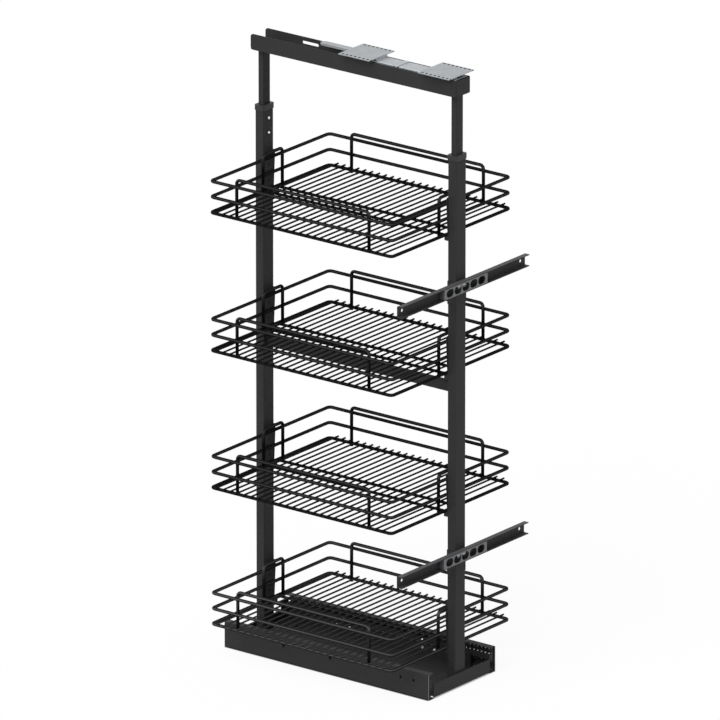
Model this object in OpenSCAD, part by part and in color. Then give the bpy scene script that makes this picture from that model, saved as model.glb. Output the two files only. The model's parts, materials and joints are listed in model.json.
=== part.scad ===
// Pull-out pantry frame: telescopic base runner, two posts, telescoping head with
// its top rail and guide, two door brackets and four hanging wire baskets.
// X is the width, Y the depth with the front at -Y, Z the height above the cabinet floor.

/* [Base runner] */
// Length of the base, front to rear
base_len = 500; // [480:1:560]
// Distance by which the outer rails reach past the rear of the base
rail_over = 3; // [0:0.5:6]
// Width over the outer rails
base_w = 214; // [200:1:300]
// Height of the outer rails
rail_h = 52; // [51:0.5:60]
// Width of one telescopic runner
runner_w = 16; // [15.5:0.5:20]
// Sheet thickness of base, tray, feet, brackets and top rail
sheet = 1.5; // [1.2:0.1:1.7]
// Inside bend radius of rails, brackets and guide channels
bend_r = 0.8; // [0.4:0.1:1.5]
// Distances of the side holes from the front end of an outer rail
side_holes_at = [37, 69, 242, 357]; // [20:1:450]
// Height of the side holes above the floor
side_hole_z = 34; // [20:1:40]
// Diameter of the side holes
side_hole_d = 6.5; // [3:0.1:8]
// Width of a floor strap
strap_w = 44; // [30:1:60]
// Distance of the floor screws from the ends of the base
floor_hole_inset = 50; // [40:1:80]
// Distance across between the floor screws
floor_hole_span = 120; // [90:1:140]
// Diameter of the floor screw holes
floor_hole_d = 5.5; // [4:0.1:7]
// Length of a rear buffer along its rail
buffer_len = 4.7; // [3:0.1:8]
// Height of a rear buffer
buffer_h = 24; // [15:1:30]

/* [Ball runners] */
// Diameter of a ball
ball_d = 4; // [3.8:0.1:4.2]
// Clearance between a ball and its tracks
run_gap = 0.3; // [0.25:0.05:0.4]
// Clearance between a ball and its pocket
pocket_gap = 0.15; // [0.1:0.05:0.3]
// Distance between balls in a row
ball_pitch = 9.2; // [6:0.1:10]
// Balls in a row
ball_count = 8; // [4:1:10]
// Height of the running bar of an inner rail
bar_h = 8.6; // [7:0.1:9]
// Height of the middle of the running bar above the floor
bar_z = 31.5; // [30:0.5:32]
// Clearance between the webs of an outer and a middle rail
mid_gap = 3; // [2:0.5:3.5]
// Clearance between a middle rail and an inner rail
lip_gap = 1; // [0.5:0.1:1.5]
// Clearance of a middle rail before its rear buffer
buffer_gap = 0.3; // [0.3:0.1:2]

/* [Carriage tray] */
// Clearance between the tray and the lips of the outer rails
tray_gap = 0.5; // [0.3:0.1:1]
// Height of the underside of the tray above the floor
tray_z = 4; // [3:0.5:6]
// Height of the tray from its underside to its rim
tray_h = 25; // [20:0.5:27]
// Height of the middle of the tray's rear wall
rear_wall_h = 21; // [10:0.5:25]
// Height of the ears at the rear corners of the tray
rear_ear_h = 43.5; // [25:0.5:45]
// Width of an ear at the rear corners of the tray
rear_ear_w = 24; // [15:1:40]
// Corner radius of an ear
rear_ear_r = 4; // [2:0.5:8]
// Length of the relief at the front of the tray's side walls
relief_len = 47; // [35:1:60]
// Diameter of the access holes over the floor screws
access_hole_d = 14; // [12:1:20]
// Places of the tray screws along the side walls, from the middle
wall_screws_at = [-115, -85, 95, 125]; // [-180:1:180]
// Diameter of a tray screw
tray_screw_d = 5; // [4:0.1:6]
// Diameter of the head of a tray screw
tray_head_d = 6.5; // [6:0.1:10]
// Height of the head of a tray screw
tray_head_h = 2.5; // [2:0.1:4]

/* [Posts] */
// Width of a post
post_w = 32; // [26:1:40]
// Depth of a post
post_t = 20; // [18:1:30]
// Wall of a post
post_wall = 1.5; // [1.2:0.1:1.8]
// Corner radius of a post
post_r = 2; // [2:0.5:4]
// Distance of the posts from the ends of the base
post_inset = 4.5; // [4:0.5:10]
// Height of the top of the rear post above the floor
post_top = 1092; // [1060:1:1150]
// Distance of the front post's top below the rear post's
front_drop = 8.5; // [0:0.5:20]
// Least distance between a collar and the top rail
head_room = 2; // [1:0.5:10]
// Width of a post foot
foot_w = 70; // [66:1:90]
// Length of a post foot along the tray
foot_len = 32; // [30:1:45]
// Height of the ears of a post foot
ear_h = 31; // [20:1:35]
// Distance across between the screws of a post foot
foot_screw_span = 52; // [50:1:56]
// Height of the crossbar
crossbar_h = 20; // [15:1:30]
// Thickness of the crossbar
crossbar_t = 12; // [10:1:20]
// Distance of the crossbar below the hangers of the second basket
crossbar_gap = 8; // [5:1:40]
// Clearance of pieces that fit round or into each other and stay fixed
fit_gap = 0.1; // [0.05:0.05:0.2]

/* [Telescoping head] */
// Width of an inner tube
tube_w = 22; // [16:0.5:23]
// Depth of an inner tube
tube_t = 13; // [8:0.5:13]
// Wall of an inner tube
tube_wall = 1.2; // [1:0.1:1.5]
// Corner radius of an inner tube
tube_r = 2; // [1.6:0.1:3]
// Clearance of the sliding tubes and glides
slide_gap = 0.3; // [0.3:0.05:0.5]
// Height of the lower end of the inner tubes above the floor
tube_low = 820; // [760:1:860]
// Wall of a collar's skirt
collar_wall = 1.4; // [1:0.1:3]
// Height of a collar's skirt
skirt_h = 8; // [6:1:18]
// Height of a collar's cap
cap_h = 3; // [2:0.5:6]
// Length of a collar's bush inside the post
bush_h = 65; // [62:1:90]
// Height of a glide on an inner tube
glide_h = 20; // [12:1:30]
// Thickness of a glide under its tube
glide_end = 3; // [2:0.5:5]
// Distances of the clamp screws below the top of the posts
clamp_drops = [25, 55]; // [20:1:57]
// Diameter of a clamp screw
clamp_d = 6; // [4:0.1:8]
// Diameter of the head of a clamp screw
clamp_head_d = 9; // [8.5:0.1:12]
// Height of the head of a clamp screw
clamp_head_h = 3; // [2:0.1:5]

/* [Top rail] */
// Height of the lower edge of the top rail above the floor
top_rail_z = 1208; // [1180:1:1260]
// Height of the top rail
top_rail_h = 32; // [31:0.5:40]
// Width of the top rail
top_rail_w = 48; // [44:1:60]
// Corner radius of the closed front of the top rail
front_r = 4; // [3:0.5:8]
// Corner radius of the rear ends of the top rail
rear_r = 6; // [2:0.5:12]
// Length of the slot in the side of the top rail
slot_len = 40; // [20:1:60]
// Height of the slot
slot_h = 6; // [4:0.5:10]
// Distance of the slot from the rear end of the top rail
slot_inset = 111; // [60:1:180]
// Distance of the slot below the top edge of the top rail
slot_drop = 11; // [8:0.5:14]
// Thickness of a saddle under the top rail
saddle_t = 2; // [1.5:0.1:3]
// Length of the front saddle
front_saddle_len = 48.5; // [40:0.5:60]
// Length of the rear saddle
rear_saddle_len = 45; // [40:0.5:60]

/* [Top guide] */
// Width of the guide channels
guide_w = 35; // [32:1:38]
// Sheet thickness of the guide channels
guide_sheet = 1.5; // [1.2:0.1:2]
// Height of the guide channels
guide_h = 10; // [8:0.5:11]
// Clearance between the guide and the top edge of the top rail
guide_gap = 0.5; // [0.3:0.1:1.5]
// Clearance between the front of the guide and the closed front of the top rail
guide_front_gap = 2.5; // [1:0.5:5]
// Length of the front guide channel
front_channel_len = 145; // [115:1:170]
// Length of the rear guide channel
rear_channel_len = 124; // [100:1:200]
// Length of the clip over the joint of the channels
clip_len = 12; // [8:1:28]
// Thickness of the clip
clip_t = 1.2; // [1:0.1:1.5]
// Height of the clip's legs below its top
clip_leg = 8; // [5:0.5:9]
// Width of a guide plate
plate_w = 80; // [76:1:100]
// Length of a guide plate
plate_len = 76; // [70:1:80]
// Thickness of a guide plate
plate_t = 1.6; // [1.5:0.1:3]
// Height of the ribs under a guide plate
rib_h = 4.5; // [2.5:0.1:6]
// Width of a rib
rib_w = 6; // [4:0.5:8]
// Distance across between the ribs
rib_span = 22; // [16:1:26]
// Distance by which a rib stops short of its plate's ends
rib_inset = 5; // [2:0.5:10]
// Length of the tongue behind the rear guide plate
tongue_len = 71.5; // [30:0.5:100]
// Width of the tongue
tongue_w = 16; // [10:1:20]
// Diameter of the screw holes in the guide plates
plate_hole_d = 5; // [3:0.1:6]
// Distance across between the two rows of screw holes
plate_hole_span = 70; // [64:1:72]
// Distance between screw holes in a row
plate_hole_pitch = 10; // [8:0.5:10.5]
// Screw holes in a row
plate_holes = 7; // [3:2:7]

/* [Guide rollers] */
// Clearance between a roller and the sides of the top rail
roller_gap = 0.3; // [0.3:0.05:1]
// Height of a roller
roller_h = 14; // [10:0.5:14.5]
// Chamfer of a roller's rims
roller_chamfer = 1; // [0.5:0.1:2]
// Diameter of a roller pin
pin_d = 8; // [6:0.5:10]
// Running clearance of a roller on its pin, on the radius
pin_gap = 0.05; // [0.03:0.01:0.08]
// Diameter of the head and shoulder of a roller pin
pin_head_d = 14; // [12:0.5:18]
// Height of the head of a roller pin
pin_head_h = 2.1; // [1.5:0.1:3]
// Clearance of a roller between the head and the shoulder of its pin
pin_end_gap = 0.4; // [0.3:0.05:0.8]
// Clearance between a roller pin and the saddles below it
pin_low_gap = 1.5; // [0.5:0.1:2]
// Distance of the front roller from the front of the top rail
roller_inset = 28; // [26:0.5:32]
// Distance between the rollers
roller_span = 46; // [46:0.5:60]

/* [Door brackets] */
// Length of a door bracket
bracket_len = 405; // [340:1:420]
// Height of a door bracket
bracket_h = 24; // [22:0.5:36]
// Depth of a door bracket's lips
bracket_depth = 12.4; // [9:0.1:16]
// Height of the middle of the upper door bracket above the floor
upper_bracket_z = 821; // [780:0.5:850]
// Height of the middle of the lower door bracket above the floor
lower_bracket_z = 270.5; // [220:0.5:320]
// Distance across between the door screw holes
door_hole_span = 376; // [200:1:380]
// Diameter of the door screw holes
door_hole_d = 6.5; // [4:0.1:8]
// Height of a clamp sleeve
sleeve_h = 46; // [44:1:70]
// Distance of a clamp sleeve's top above the middle of its bracket
sleeve_rise = 9; // [8:0.5:20]
// Length of a bracket insert
insert_len = 137; // [120:1:160]
// Wall of a bracket insert
insert_wall = 1; // [0.8:0.1:1.5]
// Slots in a bracket insert
insert_slots = 5; // [3:1:5]
// Length of a slot in a bracket insert
insert_slot_len = 22.5; // [10:0.5:22.5]
// Height of a slot in a bracket insert
insert_slot_h = 16; // [4:0.5:16.5]
// Distance between slots in a bracket insert
insert_pitch = 25; // [23:0.5:26]
// Distance across between the screws of a bracket
bracket_screw_span = 18; // [12:0.5:20]
// Diameter of a bracket screw
bracket_screw_d = 5; // [4:0.1:6]
// Diameter of the head of a bracket screw
bracket_head_d = 10; // [8:0.1:11]
// Height of the head of a bracket screw
bracket_head_h = 2.5; // [1.5:0.1:4]

/* [Hangers] */
// Height of a hanger above its basket's bottom ring
hanger_up = 76; // [60:1:90]
// Distance of a hanger's foot below its basket's bottom ring
hanger_down = 12.5; // [6:0.5:14]
// Width of a hanger at its top
hanger_top_w = 40; // [34:1:50]
// Width of a hanger at its foot
hanger_foot_w = 30; // [24:1:36]
// Corner radius of a hanger's top
hanger_r = 4; // [1:0.5:8]
// Sheet thickness of a hanger
hanger_t = 1; // [0.8:0.1:1.5]
// Clearance between the bottom ring and the hanger's groove
seat_gap = 0.3; // [0.3:0.05:0.6]
// Thickness of the tip in front of the groove
hanger_tip = 1.4; // [1:0.1:1.8]
// Height of the tip above the middle of the bottom ring
tip_up = 0.8; // [0.3:0.1:3]
// Heights of the hanger screws above the bottom ring
hanger_screws_at = [16, 48]; // [10:1:58]
// Diameter of a hanger screw
hanger_screw_d = 4; // [3:0.1:5]
// Diameter of the flush head of a hanger screw
hanger_head_d = 7; // [6:0.1:9]

/* [Baskets] */
// Height of the bottom ring of the lowest basket above the floor
low_ring_z = 77.5; // [75:0.5:90]
// Distance between baskets
basket_pitch = 282; // [270:0.5:290]
// Width of a basket over its rails
basket_w = 380; // [300:1:450]
// Diameter of the rails and hoops
rail_d = 6; // [4:0.1:7]
// Corner radius of the rails and hoops, at the middle of the wire
corner_r = 8; // [8:0.5:25]
// Distance between the rails of a basket
rail_step = 32; // [25:0.5:34]
// Height of the hoops above the bottom ring
hoop_up = 75; // [73:0.5:90]
// Length of the hoops on the long sides
long_hoop_len = 323; // [200:1:380]
// Width of the hoops at the ends
end_hoop_w = 61; // [56:1:120]
// Diameter of the floor wires
floor_d = 3.2; // [2:0.1:4]
// Diameter of the long wires under the floor
support_d = 5.2; // [3:0.1:5.5]
// Distance across between the long wires under the floor
support_span = 38; // [36:1:120]
// Distance between floor wires
floor_pitch = 17; // [12:0.5:25]
// Distance by which the floor wires reach past the bottom ring
floor_over = 3.3; // [1:0.1:6]
// Depth by which welded wires sink into each other
weld = 0.15; // [0.1:0.05:0.3]
// Clearance between a basket's floor and its rail work, which the weld beads bridge
weld_gap = 0.05; // [0.05:0.05:0.2]

/* [Hidden] */
$fn = 40;

// Colours
ANTHRACITE = "#38383a";
BLACK_WIRE = "#1b1b1d";
ZINC = "#c6c9cc";
BRIGHT_STEEL = "#dcdde0";
BLACK_PLASTIC = "#262628";
NYLON = "#e8e6df";
RUBBER = "#1f1f20";

basket_count = 4;
half_len = base_len/2;
half_w = base_w/2;
cut = 1;

// Runner section: distances w are measured inwards from the outer face of a rail
row_gap = ball_d + 2*run_gap;
mid_top = rail_h - sheet - row_gap;
mid_bot = sheet + row_gap;
bar_top = bar_z + bar_h/2;
bar_bot = bar_z - bar_h/2;
ledge_up = bar_top + row_gap;
ledge_down = bar_bot - row_gap;
mid_out = sheet + mid_gap;
mid_in = mid_out + sheet;
bar_out = mid_in + lip_gap;
tray_edge = runner_w + tray_gap;
track_edge = tray_edge - sheet - lip_gap;
ball_w = (mid_in + track_edge)/2;
strip_h = row_gap - 2*run_gap;
strip_edge = ball_w + ball_d/6;
strip_len = ball_pitch*ball_count;
strip_inset = 2.5;

// Lengths of the runner members
rail_setback = 2;
buffer_setback = 0.5;
buffer_front = half_len - buffer_setback - buffer_len;
mid_rear = buffer_front - buffer_gap;
inner_rear = mid_rear - buffer_gap;
front_strip_y = -half_len + strip_inset;
mid_strip_y = mid_rear - strip_inset - strip_len;
inner_strip_y = inner_rear - strip_inset - strip_len;

// Ball rows: height of the carrying face, direction of the row from it, front end, extent across
OUTER_ROWS = [
    [rail_h - sheet, -1, front_strip_y, mid_out, strip_edge],
    [sheet, 1, front_strip_y, mid_out, strip_edge]
];
MID_ROWS = [
    [mid_top, 1, mid_strip_y, mid_in, strip_edge],
    [mid_bot, -1, mid_strip_y, mid_in, strip_edge],
    [ledge_up, -1, front_strip_y, mid_in, strip_edge],
    [ledge_down, 1, front_strip_y, mid_in, strip_edge]
];
INNER_ROWS = [
    [bar_top, 1, inner_strip_y, bar_out, track_edge],
    [bar_bot, -1, inner_strip_y, bar_out, track_edge]
];

// Tray and feet
tray_half = half_w - tray_edge;
tray_rear_gap = 1;
tray_front = -half_len;
tray_rear = half_len - tray_rear_gap;
tray_floor = tray_z + sheet;
tray_top = tray_z + tray_h;
relief_y = tray_front + relief_len;
inner_web_gap = 2.5;
inner_web_bot = tray_floor + inner_web_gap;
wall_screw_z = (inner_web_bot + bar_bot)/2;
foot_top = tray_floor + sheet;
foot_setback = 3;
foot_y = half_len - foot_setback - foot_len/2;
floor_hole_y = half_len - floor_hole_inset;

// Posts and head
post_y = half_len - post_inset - post_t/2;
post_in = post_y - post_t/2;
post_out = post_y + post_t/2;
post_end = min(post_top, top_rail_z - head_room - cap_h);
front_end = post_end - front_drop;
bore_w = post_w - 2*post_wall;
bore_t = post_t - 2*post_wall;
bore_r = post_r - post_wall;
tube_in = post_y - tube_t/2;

// Baskets
function ring_z(n) = low_ring_z + basket_pitch*(basket_count - n);
rail_half_x = basket_w/2 - rail_d/2;
ring_end = post_in - hanger_t - seat_gap - rail_d/2;
ring_out = weld + weld_gap;
rail_half_y = ring_end - ring_out;
ring_half_x = rail_half_x + ring_out;
hoop_x = rail_half_x - rail_d + weld;
hoop_y = rail_half_y - rail_d + weld;
hoop_leg_in = hoop_y - rail_d/2;
floor_end = hoop_leg_in - floor_d/2 - 2*weld_gap;
floor_each_way = floor(floor_end/floor_pitch);
floor_up = rail_d/2 + floor_d/2 - weld;
floor_half_x = ring_half_x + rail_d/2 + floor_over;
support_drop = 0.05;
support_up = rail_d/2 - support_drop - support_d/2;
long_hoop_half = (floor(long_hoop_len/2/floor_pitch) + 0.5)*floor_pitch;
crossbar_top = ring_z(basket_count/2) - hanger_down - crossbar_gap;

// Door brackets
web_back = post_out + fit_gap;
web_front = web_back + sheet;
bracket_front = web_back + bracket_depth;
insert_h = bracket_h - 2*sheet - 2*fit_gap;
insert_leg_h = insert_h - 2*bend_r;
BRACKETS_Z = [lower_bracket_z, upper_bracket_z];

// Top rail and guide
top_rail_top = top_rail_z + top_rail_h;
top_half_in = top_rail_w/2 - sheet;
slot_y = half_len - slot_inset;
guide_under = top_rail_top + guide_gap;
guide_top = guide_under + guide_sheet;
guide_front = -half_len + sheet + guide_front_gap;
guide_joint = guide_front + front_channel_len;
guide_rear = guide_joint + rear_channel_len;
front_plate_y = guide_front + plate_len/2;
rear_plate_y = guide_rear - plate_len/2;
plate_under = guide_top + rib_h;
front_roller_y = -half_len + roller_inset;
rear_roller_y = front_roller_y + roller_span;
pin_low = top_rail_z + saddle_t + pin_low_gap;
roller_low = pin_low + pin_head_h + pin_end_gap;
roller_d = 2*(top_half_in - roller_gap);

// Profile in the XZ plane drawn out along Y
module along_y(y0, y1) {
    translate([0, y1, 0]) rotate([90, 0, 0]) linear_extrude(y1 - y0) children();
}

// Profile in the YZ plane drawn out along X, centred on it
module along_x(w) {
    rotate([90, 0, 90]) linear_extrude(w, center = true) children();
}

// Shapes of the right side, or their mirror image on the left
module on_side(s) {
    mirror([s < 0 ? 1 : 0, 0, 0]) children();
}

// Shapes of the rear, mirrored to the front
module at_front() {
    mirror([0, 1, 0]) children();
}

// Rectangle between two corners
module rect(x0, x1, z0, z1) {
    translate([x0, z0]) square([x1 - x0, z1 - z0]);
}

// Rectangle of the right runner's section
module runner_rect(w0, w1, z0, z1) {
    rect(half_w - w1, half_w - w0, z0, z1);
}

// Rectangle whose corners on the side x0 are round
module bent_rect(x0, x1, z0, z1, r) {
    rect(x0 + r, x1, z0, z1);
    rect(x0, x1, z0 + r, z1 - r);
    for (z = [z0 + r, z1 - r]) {
        translate([x0 + r, z]) circle(r);
    }
}

// Channel bent from sheet, with its web on the side x0 and open towards x1
module bent_channel(x0, x1, z0, z1, t) {
    difference() {
        bent_rect(x0, x1, z0, z1, bend_r + t);
        bent_rect(x0 + t, x1 + cut, z0 + t, z1 - t, bend_r);
    }
}

// The same channel with its web on top at a height and its legs hanging down
module hung_channel(half, top, h, t) {
    translate([0, top]) rotate(-90) bent_channel(0, h, -half, half, t);
}

// Rectangle with round corners, centred
module rounded_rect(w, d, r) {
    square([w - 2*r, d], center = true);
    square([w, d - 2*r], center = true);
    for (x = [-1, 1], y = [-1, 1]) {
        translate([x*(w/2 - r), y*(d/2 - r)]) circle(r);
    }
}

// Slot with round ends, centred
module obround(len, h) {
    square([len - h, h], center = true);
    for (x = [-1, 1]) {
        translate([x*(len - h)/2, 0]) circle(d = h);
    }
}

// Round bar along Y between two places
module bar_y(x, z, y0, y1, d) {
    translate([x, y1, z]) rotate([90, 0, 0]) cylinder(h = y1 - y0, d = d);
}

// Round bar along X, centred
module bar_x(y, z, len, d) {
    translate([0, y, z]) rotate([0, 90, 0]) cylinder(h = len, d = d, center = true);
}

// Closed flat loop of round wire
module wire_loop(half_x, half_y, r, d) {
    for (s = [-1, 1]) {
        bar_x(s*half_y, 0, 2*(half_x - r), d);
        bar_y(s*half_x, 0, r - half_y, half_y - r, d);
    }
    for (sx = [-1, 1], sy = [-1, 1]) {
        mirror([sx < 0 ? 1 : 0, 0, 0]) mirror([0, sy < 0 ? 1 : 0, 0])
            translate([half_x - r, half_y - r, 0])
            rotate_extrude(angle = 90) translate([r, 0]) circle(d = d);
    }
}

// Upright hoop of round wire in the XZ plane
module wire_hoop(half, low, up, r, d) {
    bar_x(0, up, 2*(half - r), d);
    for (s = [-1, 1]) {
        on_side(s) {
            translate([half, 0, low]) cylinder(h = up - r - low, d = d);
            translate([half - r, 0, up - r]) rotate([90, 0, 0])
                rotate_extrude(angle = 90) translate([r, 0]) circle(d = d);
        }
    }
}

// Base runner

module outer_rail(s) {
    color(ANTHRACITE) on_side(s) difference() {
        along_y(-half_len, half_len + rail_over) translate([half_w, 0]) mirror([1, 0])
            bent_channel(0, runner_w, 0, rail_h, sheet);
        for (y = side_holes_at) {
            translate([half_w - sheet/2, y - half_len, side_hole_z]) rotate([0, 90, 0])
                cylinder(h = 2*sheet, d = side_hole_d, center = true);
        }
    }
}

module floor_strap() {
    color(ANTHRACITE) difference() {
        translate([0, floor_hole_y, sheet/2])
            cube([2*(half_w - runner_w), strap_w, sheet], center = true);
        for (s = [-1, 1]) {
            translate([s*floor_hole_span/2, floor_hole_y, -cut])
                cylinder(h = sheet + 2*cut, d = floor_hole_d);
        }
    }
}

module front_strap() {
    at_front() floor_strap();
}

module rear_strap() {
    floor_strap();
}

module rear_buffers() {
    color(RUBBER) for (s = [-1, 1]) {
        on_side(s) along_y(buffer_front, buffer_front + buffer_len)
            runner_rect(sheet, track_edge, (rail_h - buffer_h)/2, (rail_h + buffer_h)/2);
    }
}

// One comb-like ball strip on the right side, with open pockets
module ball_strip(row) {
    face = row[0];
    dir = row[1];
    y0 = row[2];
    difference() {
        along_y(y0, y0 + strip_len)
            runner_rect(row[3], row[4], min(face, face + dir*strip_h), max(face, face + dir*strip_h));
        for (i = [0:ball_count - 1]) {
            translate([half_w - ball_w, y0 + ball_pitch*(i + 0.5), face + dir*row_gap/2])
                cylinder(h = 2*row_gap, d = ball_d + 2*pocket_gap, center = true);
        }
    }
}

module ball_strips(rows) {
    color(BLACK_PLASTIC) for (s = [-1, 1], row = rows) {
        on_side(s) ball_strip(row);
    }
}

module balls(rows) {
    color(BRIGHT_STEEL) for (s = [-1, 1], row = rows, i = [0:ball_count - 1]) {
        on_side(s)
            translate([half_w - ball_w, row[2] + ball_pitch*(i + 0.5), row[0] + row[1]*row_gap/2])
            sphere(d = ball_d);
    }
}

module outer_ball_strips() {
    ball_strips(OUTER_ROWS);
}

module outer_balls() {
    balls(OUTER_ROWS);
}

// Telescoping middle rails

module mid_rail(s) {
    ledge_edge = track_edge - lip_gap;
    color(ANTHRACITE) on_side(s) along_y(-half_len + rail_setback, mid_rear) {
        runner_rect(mid_out, mid_in, mid_bot, mid_top);
        runner_rect(mid_out, track_edge, mid_top - sheet, mid_top);
        runner_rect(mid_out, track_edge, mid_bot, mid_bot + sheet);
        runner_rect(mid_out, ledge_edge, ledge_up, ledge_up + sheet);
        runner_rect(mid_out, ledge_edge, ledge_down - sheet, ledge_down);
    }
}

module mid_ball_strips() {
    ball_strips(MID_ROWS);
}

module mid_balls() {
    balls(MID_ROWS);
}

// Carriage

// Holes along X through a side wall of the tray and the web of an inner rail
module wall_screw_holes() {
    for (y = wall_screws_at) {
        translate([tray_half, y, wall_screw_z]) rotate([0, 90, 0])
            cylinder(h = 4*sheet, d = tray_screw_d + 2*fit_gap, center = true);
    }
}

// Upright holes through the feet and the floor of the tray
module foot_screw_holes() {
    for (sx = [-1, 1], sy = [-1, 1]) {
        translate([sx*foot_screw_span/2, sy*foot_y, tray_z - cut])
            cylinder(h = foot_top - tray_z + 2*cut, d = tray_screw_d + 2*fit_gap);
    }
}

module carriage_tray() {
    color(ANTHRACITE) difference() {
        union() {
            along_y(tray_front, tray_rear) rect(-tray_half, tray_half, tray_z, tray_floor);
            along_y(relief_y, tray_rear) for (s = [-1, 1]) {
                translate([s*(tray_half - sheet/2), (tray_z + tray_top)/2])
                    square([sheet, tray_h], center = true);
            }
            along_y(tray_front, tray_front + sheet) rect(-tray_half, tray_half, sheet, tray_top);
            along_y(tray_rear - sheet, tray_rear) {
                rect(-tray_half, tray_half, tray_z, tray_z + rear_wall_h);
                for (s = [-1, 1]) {
                    translate([s*(tray_half - rear_ear_w/2), tray_z]) rotate(90)
                        mirror([1, 0]) translate([-rear_ear_h, 0])
                        bent_rect(0, rear_ear_h, -rear_ear_w/2, rear_ear_w/2, rear_ear_r);
                }
            }
        }
        for (sx = [-1, 1], sy = [-1, 1]) {
            translate([sx*floor_hole_span/2, sy*floor_hole_y, tray_z - cut])
                cylinder(h = sheet + 2*cut, d = access_hole_d);
        }
        for (s = [-1, 1]) {
            on_side(s) wall_screw_holes();
        }
        foot_screw_holes();
    }
}

module inner_rail(s) {
    color(ANTHRACITE) on_side(s) difference() {
        union() {
            along_y(tray_front + sheet, inner_rear) runner_rect(bar_out, tray_edge, bar_bot, bar_top);
            along_y(relief_y, inner_rear)
                runner_rect(tray_edge - sheet, tray_edge, inner_web_bot, bar_top);
        }
        wall_screw_holes();
    }
}

module inner_ball_strips() {
    ball_strips(INNER_ROWS);
}

module inner_balls() {
    balls(INNER_ROWS);
}

// Pan head screw through two sheets, standing up, with its head on z = 0
module tray_screw() {
    translate([0, 0, -2*sheet]) cylinder(h = 2*sheet, d = tray_screw_d);
    cylinder(h = tray_head_h, d = tray_head_d);
}

module tray_screws() {
    color(BRIGHT_STEEL) {
        for (s = [-1, 1], y = wall_screws_at) {
            on_side(s) translate([tray_half - sheet, y, wall_screw_z]) rotate([0, -90, 0]) tray_screw();
        }
        for (sx = [-1, 1], sy = [-1, 1]) {
            translate([sx*foot_screw_span/2, sy*foot_y, foot_top]) tray_screw();
        }
    }
}

module post_foot() {
    color(ANTHRACITE) difference() {
        union() {
            translate([0, foot_y, tray_floor + sheet/2]) cube([foot_w, foot_len, sheet], center = true);
            for (s = [-1, 1]) {
                translate([s*(post_w + sheet)/2, post_y, foot_top + ear_h/2])
                    cube([sheet, post_t - 2*post_r, ear_h], center = true);
            }
        }
        foot_screw_holes();
    }
}

module front_foot() {
    at_front() post_foot();
}

module rear_foot() {
    post_foot();
}

// Holes through the inner wall of the rear post
module inner_wall_hole(z, d) {
    bar_y(0, z, post_in - post_wall/2, post_in + 1.5*post_wall, d);
}

module post(top) {
    difference() {
        translate([0, post_y, foot_top]) linear_extrude(top - foot_top) difference() {
            rounded_rect(post_w, post_t, post_r);
            rounded_rect(bore_w, bore_t, bore_r);
        }
        for (n = [1:basket_count], up = hanger_screws_at) {
            inner_wall_hole(ring_z(n) + up, hanger_screw_d + 2*fit_gap);
        }
        for (drop = clamp_drops) {
            inner_wall_hole(top - drop, clamp_d + 2*fit_gap);
        }
    }
}

// Holes of the bracket screws, drawn at the rear and mirrored with the front post
module bracket_screw_holes() {
    for (z = BRACKETS_Z, s = [-1, 1]) {
        bar_y(s*bracket_screw_span/2, z, post_out - 1.5*post_wall, web_front + cut,
            bracket_screw_d + 2*fit_gap);
    }
}

module front_post() {
    color(ANTHRACITE) at_front() difference() {
        post(front_end);
        bracket_screw_holes();
    }
}

module rear_post() {
    color(ANTHRACITE) post(post_end);
}

module collar(top) {
    color(BLACK_PLASTIC) difference() {
        translate([0, post_y, 0]) {
            translate([0, 0, top - bush_h]) linear_extrude(bush_h)
                rounded_rect(bore_w - 2*fit_gap, bore_t - 2*fit_gap, tube_r/2);
            translate([0, 0, top - skirt_h]) linear_extrude(skirt_h) difference() {
                collar_outline();
                rounded_rect(post_w + 2*fit_gap, post_t + 2*fit_gap, post_r + fit_gap);
            }
            translate([0, 0, top]) linear_extrude(cap_h) collar_outline();
        }
        translate([0, post_y, top - bush_h - cut]) linear_extrude(bush_h + cap_h + 2*cut)
            rounded_rect(tube_w + 2*slide_gap, tube_t + 2*slide_gap, tube_r + slide_gap);
        for (drop = clamp_drops) {
            bar_y(0, top - drop, post_in, post_y, clamp_d + 2*fit_gap);
        }
    }
}

module collar_outline() {
    grow = fit_gap + collar_wall;
    rounded_rect(post_w + 2*grow, post_t + 2*grow, post_r + grow);
}

module front_collar() {
    at_front() collar(front_end);
}

module rear_collar() {
    collar(post_end);
}

module clamp_screws(top) {
    for (drop = clamp_drops) {
        z = top - drop;
        bar_y(0, z, post_in - clamp_head_h, post_in, clamp_head_d);
        bar_y(0, z, post_in, tube_in - slide_gap, clamp_d);
    }
}

module height_clamp_screws() {
    color(BRIGHT_STEEL) {
        clamp_screws(post_end);
        at_front() clamp_screws(front_end);
    }
}

module crossbar() {
    color(ANTHRACITE) translate([0, 0, crossbar_top - crossbar_h/2]) along_y(-post_in, post_in) difference() {
        square([crossbar_t, crossbar_h], center = true);
        square([crossbar_t - 2*sheet, crossbar_h - 2*sheet], center = true);
    }
}

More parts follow.
